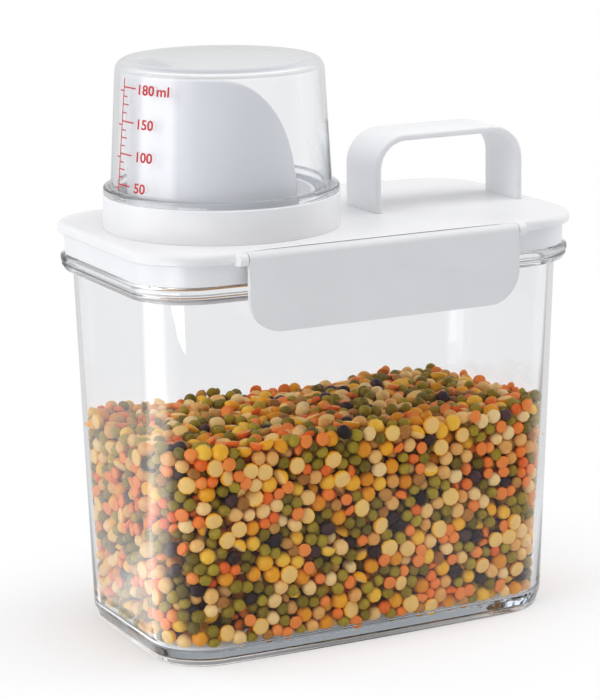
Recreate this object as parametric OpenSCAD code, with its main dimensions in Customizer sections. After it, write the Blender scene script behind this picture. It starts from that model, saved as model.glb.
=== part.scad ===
// Dry-food container: a clear drafted body with a rim flange, a white lid held by a hinged
// flap latch on each long side, a scoop-shaped pouring spout near one end, a clear measuring cup
// upside down over the spout, and a fixed strap handle at the other end.
// Frame: X along the length with the spout at -X, Y along the depth with the front at -Y, Z up.
// The origin is the centre of the base, on the surface that the container stands on. Millimetres.

/* [Lid outline] */
// Length of the lid over its brim
lid_l = 173; // [165:1:220]
// Depth of the lid over its brim, at the middle
lid_w = 104; // [102:1:140]
// Corner radius of the brim
corner_r = 21; // [18:0.5:28]
// How far each long side draws in towards the ends of the lid
side_bow = 4; // [2:0.5:5]

/* [Container] */
// Height of the underside of the rim flange
flange_z = 130.8; // [110:1:180]
// Height of the rim flange
flange_h = 5.4; // [5:0.2:8]
// How far the flange lies inside the brim line
flange_in = 0.6; // [0.5:0.1:0.9]
// How far the wall lies inside the brim line, at the flange
wall_in = 4.2; // [4:0.1:4.6]
// Wall thickness
wall_t = 2.2; // [1.6:0.1:2.4]
// How much further in the wall is at the base
draft = 4.0; // [2:0.2:6]
// Corner radius of the wall
wall_r = 20; // [16:1:24]
// Thickness of the floor
floor_t = 3.2; // [2:0.2:5]
// Height of the foot ring below the floor
foot_h = 2.6; // [1.5:0.1:4]
// Width of the foot ring
foot_t = 3.5; // [2.5:0.5:6]
// Height of the neck above the flange
neck_h = 6.2; // [5.5:0.1:6.4]

/* [Contents] */
// Height of the top of the pulses above the base
fill_z = 79; // [20:1:100]

/* [Lid] */
// Gap between the flange and the skirt
seam = 0.3; // [0.2:0.1:0.6]
// Height of the skirt below the brim
skirt_h = 7.7; // [7.2:0.1:9]
// Thickness of the brim
brim_h = 3.8; // [3.6:0.1:5]
// How far the skirt lies inside the brim line
skirt_in = 1.8; // [1.5:0.1:1.9]
// Thickness of the skirt
skirt_t = 2.0; // [1.8:0.1:2.2]
// Thickness of the deck
deck_t = 3.5; // [3:0.1:3.6]
// Depth of the lid's underside left solid along the edge
shoulder_t = 4.8; // [4.4:0.1:5]
// Thickness of the wall that carries the gasket
plug_t = 1.8; // [1.4:0.1:2.4]

/* [Gasket] */
// Thickness of the gasket ring
gasket_t = 1.6; // [1.2:0.1:2]
// Clearance between a free seal and the face that it meets
seal_gap = 0.3; // [0.2:0.05:0.4]

/* [Spout] */
// Distance from the middle of the lid to the spout's axis
spout_x = 37; // [33:0.5:38]
// Outer radius of the collar
collar_r = 42; // [40:0.5:43]
// Height of the collar
collar_h = 12; // [9:0.5:18]
// Thickness of the collar wall
collar_t = 2.1; // [1.6:0.1:2.6]
// Outer radius of the scoop
scoop_r = 33.5; // [28:0.5:34]
// Wall thickness of the scoop
scoop_t = 2.0; // [1.5:0.1:2.6]
// Height of the scoop's lip above the collar
scoop_h = 43.8; // [25:0.2:44]
// Length of the scoop's flat lip, measured along the lid from the high side
lip_l = 17.5; // [8:0.5:24]
// Length of the curved cut below the lip
cut_l = 30.5; // [24:0.5:34]
// How far the scoop's tube goes below the lid's top
tube_drop = 6; // [5.5:0.1:7]

/* [Measuring cup] */
// Outer radius of the cup's flange
cup_flange_r = 41.8; // [40.5:0.1:42]
// Thickness of the cup's flange
cup_flange_h = 2.6; // [2:0.1:4]
// Outer radius of the cup above its flange
cup_r = 39.1; // [38.6:0.1:39.4]
// Outer radius of the cup near its closed end
cup_end_r = 36.6; // [36:0.1:39]
// Height from the flange's seat to the closed end
cup_h = 47.5; // [47:0.5:70]
// Wall thickness of the cup
cup_t = 1.7; // [1.2:0.1:1.8]
// Thickness of the closed end
cup_end_t = 2.3; // [1.6:0.1:2.4]
// Radius of the closed end's outer edge
cup_edge_r = 4.3; // [3:0.1:5]
// Depth of the cup's mouth below the flange
mouth_h = 7.6; // [6:0.1:8]

/* [Handle] */
// Distance from the middle of the lid to the handle's near leg
handle_x0 = 19; // [15:1:24]
// Distance from the middle of the lid to the outside of the far leg
handle_x1 = 80.5; // [70:0.5:80.5]
// Width of the handle strap
handle_w = 23; // [16:1:30]
// Thickness of the handle strap
handle_t = 2.4; // [2:0.1:4]
// Height of the handle above the lid
handle_h = 28; // [24:1:45]
// Outer radius of the handle's bends
handle_bend = 12.5; // [8:0.5:14]
// Depth of the sockets that hold the legs
socket_d = 3.2; // [2.4:0.1:3.4]

/* [Latches] */
// Width of each flap
flap_l = 106; // [80:2:110]
// Distance from the lid's top to the bottom edge of a flap
flap_h = 28; // [26:1:36]
// Thickness of a flap
flap_t = 1.9; // [1.6:0.1:2.2]
// Radius of a flap's bottom corners
flap_corner = 12; // [4:1:12]
// Radius of the knuckle along a flap's top
knuckle_r = 2.2; // [2:0.1:2.3]
// Clearance between the flap and the lid's brim
flap_gap = 0.4; // [0.3:0.05:0.6]
// Radius of the hinge pins
pin_r = 0.8; // [0.6:0.05:1]
// Running clearance round the hinge pins
pin_gap = 0.05; // [0.03:0.01:0.08]
// Length of the ridge that catches under the flange
catch_l = 44; // [20:2:60]

/* [Hidden] */
$fn = 96;
corner_steps = 7;
side_steps = 8;
base_bow = 1.5;
edge_chamfer = 1.2;
floor_z = foot_h + floor_t;
foot_step = 1.8;
foot_in = wall_in + draft + foot_step;
foot_r = wall_r - foot_step;
flange_top = flange_z + flange_h;
groove_h = 0.8;
groove_in = flange_in + 1.2;
bead_h = (flange_h - groove_h) / 2;
flange_chamfer = 1.2;
neck_in = wall_in + 0.2;
neck_t = wall_t - 0.2;
neck_top = flange_top + neck_h;
skirt_z = flange_top + seam;
brim_z = skirt_z + skirt_h;
lid_top = brim_z + brim_h;
shoulder_z = lid_top - shoulder_t;
deck_z = lid_top - deck_t;
seal_in = neck_in + neck_t;
gasket_in = seal_in + seal_gap;
plug_in = gasket_in + gasket_t;
plug_z = skirt_z + 1;
plug_lip_h = 1.1;
plug_lip_in = plug_in - gasket_t / 2;
collar_z = lid_top + collar_h;
recess_r = collar_r - collar_t;
base_t = 2.2;
tube_gap = 0.15;
snap_out = 0.8;
snap_h = 1.6;
snap_gap = 0.2;
ring_r0 = scoop_r + 2.5;
ring_w = 2.5;
ring_h = 1.2;
mouth_r = recess_r - 0.6;
cup_seal_t = 1.1;
cup_seal_h = 2;
cup_seal_z = collar_z - mouth_h + 1.8;
leg_gap = 0.1;
boss_l = 9;
boss_t = 2;
boss_side = 3;
hinge_y = lid_w / 2 + flap_gap + flap_t - knuckle_r;
knuckle_drop = 0.2;
hinge_z = lid_top - knuckle_r - knuckle_drop;
trough_r = knuckle_r + 1;
flap_end_gap = 0.3;
lug_l = 3;
pin_inset = 0.5;
pin_l = flap_l + 2 * (flap_end_gap + lug_l - pin_inset);
pin_end_gap = 0.2;
catch_in = 1.7;
catch_z = flange_z + 0.4;
catch_h = 2.2;
catch_slope = 0.8;
catch_foot = 0.6;
catch_overlap = 0.1;
flap_land = knuckle_r - 0.2;

// Points of the plan outline, inset from the brim line, with bowed long sides
function plan(in, bow = side_bow, r = corner_r) =
    let (a = lid_l / 2 - in, b = lid_w / 2 - in)
    [for (q = [0:3])
        let (sx = (q == 0 || q == 3) ? 1 : -1, sy = q < 2 ? 1 : -1, last = q % 2 == 0 ? side_steps - 1 : 0)
        for (i = [0:corner_steps + last])
            let (t = 90 * (q + min(i, corner_steps) / corner_steps),
                 s = max(i - corner_steps, 0) / side_steps,
                 x = sx * (a - r) * (1 - 2 * s) + r * cos(t),
                 y = sy * (b - r) + r * sin(t))
            [x, y * (1 - bow / b * pow(x / a, 2))]];

// Corner radius at an inset, so that the outline stays parallel to the wall's
function beside_wall(in) = wall_r + wall_in - in;

// A straight slab of the plan outline
module slab(z0, z1, in, bow = side_bow, r = corner_r) {
    translate([0, 0, z0])
        linear_extrude(height = z1 - z0)
            polygon(plan(in, bow, r));
}

// A thin slice, for lofting between two heights
module slice(z, in, bow = side_bow, r = corner_r) {
    slab(z, z + 0.01, in, bow, r);
}

// The drafted shape between the floor and the flange, inset from the wall's outer face
module drafted(in) {
    hull() {
        slice(flange_z, wall_in + in, side_bow, wall_r - in);
        slice(floor_z, wall_in + in + draft, base_bow, wall_r - in);
    }
}

module container() {
    color([0.86, 0.90, 0.93, 0.35])
    difference() {
        union() {
            hull() {
                slice(flange_z - 0.01, wall_in, side_bow, wall_r);
                slice(floor_z, wall_in + draft, base_bow, wall_r);
                slice(0, foot_in, base_bow, foot_r);
            }
            hull() {
                slice(flange_z, flange_in + flange_chamfer);
                slice(flange_z + bead_h - 0.01, flange_in);
            }
            slab(flange_z + bead_h, flange_z + bead_h + groove_h, groove_in);
            slab(flange_z + bead_h + groove_h, flange_top, flange_in);
            slab(flange_z, neck_top, neck_in, side_bow, beside_wall(neck_in));
        }
        drafted(wall_t);
        slab(flange_z, neck_top + 1, seal_in, side_bow, beside_wall(seal_in));
        slab(-1, foot_h, foot_in + foot_t, base_bow, foot_r - foot_t);
    }
}

module pulse_fill() {
    color([0.80, 0.62, 0.34])
        difference() {
            drafted(wall_t + seal_gap);
            translate([0, 0, fill_z + flange_z])
                cube([2 * lid_l, 2 * lid_w, 2 * flange_z], center = true);
        }
}

// Sockets for the two legs of the handle
module leg_sockets() {
    for (x = [handle_x0, handle_x1 - handle_t])
        translate([x - leg_gap, -handle_w / 2 - leg_gap, lid_top - socket_d])
            cube([handle_t + 2 * leg_gap, handle_w + 2 * leg_gap, socket_d + 1]);
}

// Room for one flap and its knuckle, on the side that s names
module flap_room(s) {
    translate([-flap_l / 2 - flap_end_gap, s * hinge_y, hinge_z])
        rotate([0, 90, 0])
            cylinder(r = trough_r, h = flap_l + 2 * flap_end_gap);
}

// The two lugs that carry one hinge pin
module pin_lugs(s) {
    for (x = [-flap_l / 2 - flap_end_gap - lug_l, flap_l / 2 + flap_end_gap])
        translate([x, 0, hinge_z]) {
            translate([0, s * hinge_y, 0])
                rotate([0, 90, 0])
                    cylinder(r = knuckle_r, h = lug_l);
            translate([0, s * (hinge_y - knuckle_r) - knuckle_r, -knuckle_r])
                cube([lug_l, 2 * knuckle_r, 2 * knuckle_r]);
        }
}

module lid() {
    color([0.95, 0.95, 0.96])
    difference() {
        union() {
            difference() {
                union() {
                    slab(skirt_z, brim_z, skirt_in);
                    hull() {
                        slice(brim_z, edge_chamfer / 2);
                        slice(brim_z + edge_chamfer / 2, 0);
                        slice(lid_top - edge_chamfer, 0);
                        slice(lid_top - 0.01, edge_chamfer);
                    }
                }
                slab(skirt_z - 1, shoulder_z, skirt_in + skirt_t);
                slab(skirt_z - 1, deck_z, plug_in + plug_t, side_bow, beside_wall(plug_in + plug_t));
                flap_room(-1);
                flap_room(1);
            }
            difference() {
                union() {
                    slab(plug_z, deck_z + 0.5, plug_in, side_bow, beside_wall(plug_in));
                    slab(plug_z, plug_z + plug_lip_h, plug_lip_in, side_bow, beside_wall(plug_lip_in));
                }
                slab(plug_z - 1, deck_z, plug_in + plug_t, side_bow, beside_wall(plug_in + plug_t));
            }
            translate([handle_x0 + handle_t / 2 - boss_l / 2, -handle_w / 2 - boss_side, deck_z - boss_t])
                cube([boss_l, handle_w + 2 * boss_side, boss_t + 1]);
            pin_lugs(-1);
            pin_lugs(1);
        }
        translate([-spout_x, 0, plug_z - 1])
            cylinder(r = scoop_r + tube_gap, h = lid_top);
        translate([-spout_x, 0, lid_top - ring_h])
            difference() {
                cylinder(r = ring_r0 + ring_w, h = ring_h + 1);
                translate([0, 0, -1])
                    cylinder(r = ring_r0, h = ring_h + 3);
            }
        leg_sockets();
        for (s = [-1, 1])
            translate([-pin_l / 2 - pin_end_gap, s * hinge_y, hinge_z])
                rotate([0, 90, 0])
                    cylinder(r = pin_r + pin_gap, h = pin_l + 2 * pin_end_gap);
    }
}

module lid_gasket() {
    color([0.88, 0.90, 0.90])
        difference() {
            slab(plug_z + plug_lip_h, shoulder_z, gasket_in, side_bow, beside_wall(gasket_in));
            slab(plug_z, lid_top, plug_in, side_bow, beside_wall(plug_in));
        }
}

// Points of the curved cut, from the lip down to the collar
function cut_curve(n = 24) =
    [for (i = [0:n]) [lip_l + cut_l * sin(90 * i / n), scoop_h * cos(90 * i / n)]];

module spout() {
    color([0.95, 0.95, 0.96])
    translate([-spout_x, 0, 0])
        difference() {
            union() {
                translate([0, 0, lid_top])
                    cylinder(r = collar_r, h = collar_h);
                translate([0, 0, lid_top - tube_drop])
                    cylinder(r = scoop_r, h = tube_drop + 1);
                translate([0, 0, deck_z - snap_gap - snap_h])
                    cylinder(r = scoop_r + snap_out, h = snap_h);
                intersection() {
                    translate([0, 0, lid_top])
                        cylinder(r = scoop_r, h = collar_h + scoop_h);
                    translate([-scoop_r, collar_r, collar_z])
                        rotate([90, 0, 0])
                            linear_extrude(height = 2 * collar_r)
                                polygon(concat([[-1, -collar_h], [-1, scoop_h]], cut_curve(),
                                               [[lip_l + cut_l, -collar_h]]));
                }
            }
            translate([0, 0, lid_top + base_t])
                difference() {
                    cylinder(r = recess_r, h = scoop_h + collar_h);
                    translate([0, 0, -1])
                        cylinder(r = scoop_r, h = scoop_h + collar_h + 2);
                }
            translate([0, 0, lid_top - tube_drop - 1])
                cylinder(r = scoop_r - scoop_t, h = tube_drop + collar_h + scoop_h + 2);
        }
}

module spout_seal() {
    color([0.80, 0.82, 0.83])
        translate([-spout_x, 0, lid_top - ring_h])
            difference() {
                cylinder(r = ring_r0 + ring_w, h = ring_h);
                translate([0, 0, -1])
                    cylinder(r = ring_r0, h = ring_h + 2);
            }
}

// Half section of the cup, open end down, as radius against height above the collar's top
function cup_outside() = [[mouth_r, -mouth_h], [mouth_r, 0], [cup_flange_r, 0],
    [cup_flange_r, cup_flange_h], [cup_r, cup_flange_h],
    for (t = [0:9:90]) [cup_end_r - cup_edge_r * (1 - cos(t)), cup_h - cup_edge_r * (1 - sin(t))],
    [0, cup_h]];
function cup_inside() = [[0, -mouth_h - 1], [mouth_r - cup_t, -mouth_h - 1], [mouth_r - cup_t, 0],
    [cup_r - cup_t, cup_flange_h],
    for (t = [0:9:90])
        let (r = cup_edge_r - cup_t)
        [cup_end_r - cup_t - r * (1 - cos(t)), cup_h - cup_end_t - r * (1 - sin(t))],
    [0, cup_h - cup_end_t]];

module measuring_cup() {
    color([0.88, 0.92, 0.95, 0.35])
        translate([-spout_x, 0, 0])
            difference() {
                translate([0, 0, collar_z])
                    rotate_extrude()
                        polygon(concat([[0, -mouth_h]], cup_outside()));
                translate([0, 0, collar_z])
                    rotate_extrude()
                        polygon(cup_inside());
                translate([0, 0, cup_seal_z])
                    difference() {
                        cylinder(r = mouth_r + 1, h = cup_seal_h);
                        translate([0, 0, -1])
                            cylinder(r = recess_r - seal_gap - cup_seal_t, h = cup_seal_h + 2);
                    }
            }
}

module cup_seal() {
    color([0.85, 0.87, 0.88])
        translate([-spout_x, 0, cup_seal_z])
            difference() {
                cylinder(r = recess_r - seal_gap, h = cup_seal_h);
                translate([0, 0, -1])
                    cylinder(r = recess_r - seal_gap - cup_seal_t, h = cup_seal_h + 2);
            }
}

// A quarter of the handle's bend, swept from a leg into the bar
module handle_bend_piece(x, turn) {
    translate([x, handle_w / 2, lid_top + handle_h - handle_bend])
        rotate([90, 0, 0])
            intersection() {
                difference() {
                    cylinder(r = handle_bend, h = handle_w);
                    translate([0, 0, -1])
                        cylinder(r = handle_bend - handle_t, h = handle_w + 2);
                }
                translate([turn > 0 ? 0 : -handle_bend - 1, 0, -1])
                    cube([handle_bend + 1, handle_bend + 1, handle_w + 2]);
            }
}

module handle() {
    color([0.95, 0.95, 0.96])
        union() {
            for (x = [handle_x0, handle_x1 - handle_t])
                translate([x, -handle_w / 2, lid_top - socket_d])
                    cube([handle_t, handle_w, socket_d + handle_h - handle_bend]);
            handle_bend_piece(handle_x0 + handle_bend, -1);
            handle_bend_piece(handle_x1 - handle_bend, 1);
            translate([handle_x0 + handle_bend, -handle_w / 2, lid_top + handle_h - handle_t])
                cube([handle_x1 - handle_x0 - 2 * handle_bend, handle_w, handle_t]);
        }
}

// Front view of a flap: square top corners and rounded bottom corners
module flap_face() {
    drop = flap_h - (lid_top - hinge_z);
    difference() {
        translate([-flap_l / 2, -drop])
            square([flap_l, drop]);
        for (s = [-1, 1])
            translate([s * (flap_l / 2 - flap_corner), flap_corner - drop])
                difference() {
                    translate([s > 0 ? 0 : -flap_corner - 1, -flap_corner - 1])
                        square([flap_corner + 1, flap_corner + 1]);
                    circle(r = flap_corner);
                }
    }
}

// One flap in its closed place on the front side
module flap() {
    difference() {
        union() {
            translate([0, -hinge_y - knuckle_r + flap_t, hinge_z])
                rotate([90, 0, 0])
                    linear_extrude(height = flap_t)
                        flap_face();
            translate([-flap_l / 2, -hinge_y, hinge_z])
                rotate([0, 90, 0])
                    cylinder(r = knuckle_r, h = flap_l);
            translate([-flap_l / 2, -hinge_y, hinge_z])
                cube([flap_l, flap_land, knuckle_r]);
            translate([-catch_l / 2, -hinge_y - knuckle_r + flap_t, catch_z])
                rotate([0, 90, 0])
                    linear_extrude(height = catch_l)
                        polygon([[-catch_slope, -catch_overlap], [0, catch_in],
                                 [catch_h - catch_slope, catch_in], [catch_h + catch_foot, -catch_overlap]]);
        }
        translate([-flap_l / 2 - 1, -hinge_y, hinge_z])
            rotate([0, 90, 0])
                cylinder(r = pin_r + pin_gap, h = flap_l + 2);
    }
}

module front_latch() {
    color([0.93, 0.93, 0.94])
        flap();
}

module back_latch() {
    color([0.93, 0.93, 0.94])
        mirror([0, 1, 0])
            flap();
}

module latch_pin(s) {
    color([0.75, 0.76, 0.78])
        translate([-pin_l / 2, s * hinge_y, hinge_z])
            rotate([0, 90, 0])
                cylinder(r = pin_r, h = pin_l);
}

module front_latch_pin() {
    latch_pin(-1);
}

module back_latch_pin() {
    latch_pin(1);
}

container();
pulse_fill();
lid();
lid_gasket();
spout();
spout_seal();
measuring_cup();
cup_seal();
handle();
front_latch();
back_latch();
front_latch_pin();
back_latch_pin();
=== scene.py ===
# %% [markdown]
# # A dry-food container with a pouring spout
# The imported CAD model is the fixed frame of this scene. Its solids say where every piece is and how it
# moves. Here the visible mouldings are modelled again with rounded edges, get their real finishes, and
# are filled with loose pulses.

# %% Load the frame
import math
from collections import namedtuple

import bmesh
import bpy
import numpy as np
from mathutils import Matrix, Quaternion, Vector
from mathutils.kdtree import KDTree


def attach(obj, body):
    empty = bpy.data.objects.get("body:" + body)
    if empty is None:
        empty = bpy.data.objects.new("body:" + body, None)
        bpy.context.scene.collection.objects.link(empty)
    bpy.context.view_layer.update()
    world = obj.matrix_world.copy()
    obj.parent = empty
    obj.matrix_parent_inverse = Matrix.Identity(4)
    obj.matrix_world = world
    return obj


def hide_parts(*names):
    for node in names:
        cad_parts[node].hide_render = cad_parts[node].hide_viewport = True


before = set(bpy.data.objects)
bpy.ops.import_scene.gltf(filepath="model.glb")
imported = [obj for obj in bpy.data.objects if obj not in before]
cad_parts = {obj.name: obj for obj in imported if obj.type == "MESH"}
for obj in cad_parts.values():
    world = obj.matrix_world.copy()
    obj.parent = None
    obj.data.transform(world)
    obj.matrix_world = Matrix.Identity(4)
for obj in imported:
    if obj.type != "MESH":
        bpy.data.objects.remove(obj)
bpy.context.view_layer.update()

MM = 0.001
print("frame nodes:", sorted(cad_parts))

# %% [markdown]
# The lid and the container share one plan: a rounded rectangle whose long sides are gently bowed. All
# the mouldings are measured inward from the lid's brim, as on the drawing.

# %% The plan outline
HALF_L, HALF_W = 86.5, 52.0
FLOOR_Z, FLANGE_Z, FLANGE_TOP, NECK_TOP = 5.8, 130.8, 136.2, 142.4
SKIRT_Z, BRIM_Z, LID_TOP, DECK_Z = 136.5, 144.2, 148.0, 144.5
WALL_INSETS, SIDE_BOWS = (8.2, 4.2), (1.5, 4.0)  # at the floor and under the flange
CORNER_INSETS, CORNER_RADII = (1.8, 4.4, 14.4), (21.0, 19.8, 9.8)  # at the flange, the neck and inside
CORNER_STEPS, SIDE_STEPS = 12, 10


def wall_inset(z):
    """How far the container's wall lies inside the brim line at a height."""
    return np.interp(z, [FLOOR_Z, FLANGE_Z], WALL_INSETS)


def side_bow(z):
    """How far the long sides draw in at the ends of the plan."""
    return np.interp(z, [FLOOR_Z, FLANGE_Z], SIDE_BOWS)


def corner_radius(inset, z):
    """The corner radius that keeps an outline parallel to the wall's."""
    return float(np.interp(inset - wall_inset(z) + WALL_INSETS[1], CORNER_INSETS, CORNER_RADII))


def outline(inset, z):
    """Points of the plan at an inset and a height, in millimetres."""
    a, b, r, bow = HALF_L - inset, HALF_W - inset, corner_radius(inset, z), side_bow(z)
    points = []
    for quarter in range(4):
        sx, sy = (1 if quarter in (0, 3) else -1), (1 if quarter < 2 else -1)
        extra = SIDE_STEPS - 1 if quarter % 2 == 0 else 0
        for i in range(CORNER_STEPS + extra + 1):
            turn = math.radians(90 * (quarter + min(i, CORNER_STEPS) / CORNER_STEPS))
            along = 1 - 2 * max(i - CORNER_STEPS, 0) / SIDE_STEPS
            x = sx * (a - r) * along + r * math.cos(turn)
            y = sy * (b - r) + r * math.sin(turn)
            points.append((x, y * (1 - bow / b * (x / a) ** 2), z))
    return points


# %% [markdown]
# Real mouldings have no sharp edges. A section is written as its corners, each with the radius of its
# fillet, and this helper turns it into a polyline with the fillets drawn in.

# %% Round the corners of a section
MOST_OF_SIDE = 0.48  # a fillet takes less than half of a side, so the next one fits


def rounded(corners, steps=4):
    """corners: (u, z, fillet radius). Returns the (u, z) polyline; the first and last stay as they are."""
    line = [corners[0][:2]]
    for before, corner, after in zip(corners, corners[1:], corners[2:]):
        p = np.array(corner[:2], float)
        a, b = np.array(before[:2]) - p, np.array(after[:2]) - p
        la, lb = np.hypot(*a), np.hypot(*b)
        a, b = a / la, b / lb
        half = math.acos(max(-1, min(1, float(a @ b)))) / 2
        if corner[2] <= 0 or math.pi / 2 - half < 0.01:
            line.append(tuple(p))
            continue
        reach = min(corner[2] / math.tan(half), MOST_OF_SIDE * la, MOST_OF_SIDE * lb)
        radius = reach * math.tan(half)
        centre = p + (a + b) / np.hypot(*(a + b)) * radius / math.sin(half)
        start, end = p + a * reach - centre, p + b * reach - centre
        sweep = math.atan2(start[0] * end[1] - start[1] * end[0], float(start @ end))
        for i in range(steps + 1):
            c, s = math.cos(sweep * i / steps), math.sin(sweep * i / steps)
            line.append(tuple(centre + (c * start[0] - s * start[1], s * start[0] + c * start[1])))
    line.append(corners[-1][:2])
    return line


print("a rounded corner has", len(rounded([(0, 0), (9, 0, 2), (9, 9)])) - 2, "points")

# %% [markdown]
# A moulding is then drawn up ring by ring. A circle is added, pulled onto the first outline, and
# extruded again and again, each new ring fitted to its own place, as one would do by hand with a
# reference drawing behind the mesh.

# %% Draw a skin through rings
def active(obj):
    """Makes obj the only selected object."""
    bpy.ops.object.select_all(action="DESELECT")
    obj.select_set(True)
    bpy.context.view_layer.objects.active = obj
    return obj


def skin(name, rings, capped=True, closed=False):
    """A mesh through rings of points in millimetres. The first and last ring are filled when capped."""
    bpy.ops.object.select_all(action="DESELECT")
    fill = "NGON" if capped else "NOTHING"
    bpy.ops.mesh.primitive_circle_add(vertices=len(rings[0]), radius=1, fill_type=fill)
    obj = bpy.context.object
    obj.name = obj.data.name = name
    bpy.ops.object.mode_set(mode="EDIT")
    mesh = bmesh.from_edit_mesh(obj.data)
    loop = list(mesh.verts)
    for vert, point in zip(loop, rings[0]):
        vert.co = Vector(point) * MM
    bpy.ops.mesh.select_all(action="DESELECT")
    for edge in mesh.edges:
        edge.select_set(True)
    for ring in rings[1:]:
        where = {tuple(v.co): i for i, v in enumerate(loop)}
        bpy.ops.mesh.extrude_edges_move()
        mesh = bmesh.from_edit_mesh(obj.data)
        fresh = [v for v in mesh.verts if v.select]
        loop = [None] * len(ring)
        for vert in fresh:
            loop[where[tuple(vert.co)]] = vert
        for vert, point in zip(loop, ring):
            vert.co = Vector(point) * MM
    if closed:
        bpy.ops.mesh.select_all(action="SELECT")
        bpy.ops.mesh.remove_doubles(threshold=1e-6)
    elif capped:
        bpy.ops.mesh.edge_face_add()
    bpy.ops.mesh.select_all(action="SELECT")
    bpy.ops.mesh.normals_make_consistent(inside=False)
    bpy.ops.object.mode_set(mode="OBJECT")
    return obj


def moulding(name, section):
    """A skin whose rings are the plan at each (inset, z) of a section."""
    return skin(name, [outline(u, z) for u, z in section])


def turned(name, section, x, steps=96):
    """A body of revolution about the vertical line at x, from (radius, z)."""
    angles = [2 * math.pi * i / steps for i in range(steps)]
    rings = [[(x + r * math.cos(t), r * math.sin(t), z) for t in angles] for r, z in section]
    return skin(name, rings)


def modified(obj, kind, **settings):
    """Adds a modifier and applies it."""
    active(obj)
    modifier = obj.modifiers.new(kind.title(), kind)
    for key, value in settings.items():
        setattr(modifier, key, value)
    bpy.ops.object.modifier_apply(modifier=modifier.name)
    return obj


def cut(obj, *tools):
    """Takes tools out of obj and deletes them."""
    for tool in tools:
        modified(obj, "BOOLEAN", operation="DIFFERENCE", object=tool, solver="EXACT")
        bpy.data.objects.remove(tool)
    return obj


def merged(obj, *others):
    """Melts others into obj."""
    for other in others:
        modified(obj, "BOOLEAN", operation="UNION", object=other, solver="EXACT")
        bpy.data.objects.remove(other)
    return obj


def smooth(obj, degrees=35):
    """Smooth shading that keeps the edges sharper than an angle."""
    active(obj)
    bpy.ops.object.shade_smooth_by_angle(angle=math.radians(degrees))
    return obj


def block(low, high, name="block"):
    """A box between two corners in millimetres, as a tool for cuts and joints."""
    low, high = Vector(low) * MM, Vector(high) * MM
    bpy.ops.object.select_all(action="DESELECT")
    bpy.ops.mesh.primitive_cube_add(size=1, location=(low + high) / 2)
    obj = bpy.context.object
    obj.name = name
    obj.scale = high - low
    bpy.ops.object.transform_apply(location=True, rotation=True, scale=True)
    return obj


def rod(x0, x1, y, z, radius, steps=48):
    """A cylinder along X, as a tool for cuts and joints."""
    middle = ((x0 + x1) / 2 * MM, y * MM, z * MM)
    bpy.ops.object.select_all(action="DESELECT")
    bpy.ops.mesh.primitive_cylinder_add(vertices=steps, radius=radius * MM, depth=(x1 - x0) * MM,
                                        location=middle, rotation=(0, math.pi / 2, 0))
    obj = bpy.context.object
    obj.name = "rod"
    bpy.ops.object.transform_apply(location=True, rotation=True, scale=True)
    return obj


print("plan has", len(outline(0, LID_TOP)), "points")

# %% [markdown]
# The container is one clear moulding. Its section runs from the underside of the floor round the foot
# ring, up the drafted wall, over the two beads of the rim flange and the neck, and back down inside.

# %% The clear container
WALL_FOOT, WALL_TOP = WALL_INSETS
CONTAINER = [  # inset, height, fillet
    (18.0, 2.6, 0), (13.5, 2.6, 0.8), (13.5, 0, 0.8), (10.0, 0, 1.3), (WALL_FOOT, FLOOR_Z, 3.0),
    (WALL_TOP, FLANGE_Z, 0.8), (1.8, FLANGE_Z, 0.4), (0.6, 133.1, 0.5), (1.8, 133.1, 0.3),
    (1.8, 133.9, 0.3), (0.6, 133.9, 0.5), (0.6, FLANGE_TOP, 0.7), (4.4, FLANGE_TOP, 0.5),
    (4.4, NECK_TOP, 0.6), (6.4, NECK_TOP, 0.6), (6.4, FLANGE_Z, 6.0), (10.4, FLOOR_Z, 3.0),
    (15.0, FLOOR_Z, 0)]
clear_body = smooth(moulding("clear_body", rounded(CONTAINER)), 50)
print("container faces:", len(clear_body.data.polygons))

# %% [markdown]
# The lid is drawn the same way, from under its deck round the plug wall and the skirt to the brim. The
# spout's hole, the troughs of the two hinges and the handle's sockets are cut into it afterwards.

# %% The lid
SPOUT_X, BORE_R = -37.0, 33.65
HINGE_Y, HINGE_Z, KNUCKLE_R, TROUGH_R = 52.1, 145.6, 2.2, 3.2
FLAP_HALF, END_GAP, LUG, LUG_ROOT, LUG_Z = 53.0, 0.3, 3.0, 46.5, (143.4, 147.8)
HANDLE_X, HANDLE_W, HANDLE_T, SOCKET_GAP, SOCKET_Z = (19.0, 80.5), 23.0, 2.4, 0.1, (144.8, 150)
BOSS_X, BOSS_HALF, BOSS_Z = (16.2, 25.2), 14.5, 142.5
WELL_BELOW, WELL_ABOVE = 130, 160  # the bore's tool runs right through the lid
LID = [  # inset, height, fillet
    (16.0, DECK_Z, 0), (10.1, DECK_Z, 0.6), (10.1, 137.5, 0.4), (7.5, 137.5, 0.3), (7.5, 138.6, 0.3),
    (8.3, 138.6, 0), (8.3, 143.2, 0.4), (3.8, 143.2, 0.5), (3.8, SKIRT_Z, 0.4), (1.8, SKIRT_Z, 0.4),
    (1.8, BRIM_Z, 0.5), (0.0, BRIM_Z, 0.7), (0.0, LID_TOP, 1.6), (5.0, LID_TOP, 0)]
lid = moulding("lid_moulding", rounded(LID))
merged(lid, block((BOSS_X[0], -BOSS_HALF, BOSS_Z), (BOSS_X[1], BOSS_HALF, DECK_Z + 1)))
for side in (-1, 1):
    y, reach = side * HINGE_Y, FLAP_HALF + END_GAP
    cut(lid, rod(-reach, reach, y, HINGE_Z, TROUGH_R))
    for end in (-1, 1):
        x0, x1 = sorted((end * reach, end * (reach + LUG)))
        near, far = sorted((side * LUG_ROOT, y))
        merged(lid, rod(x0, x1, y, HINGE_Z, KNUCKLE_R, 32), block((x0, near, LUG_Z[0]), (x1, far, LUG_Z[1])))
cut(lid, turned("bore", [(BORE_R, WELL_BELOW), (BORE_R, WELL_ABOVE)], SPOUT_X))
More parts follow.
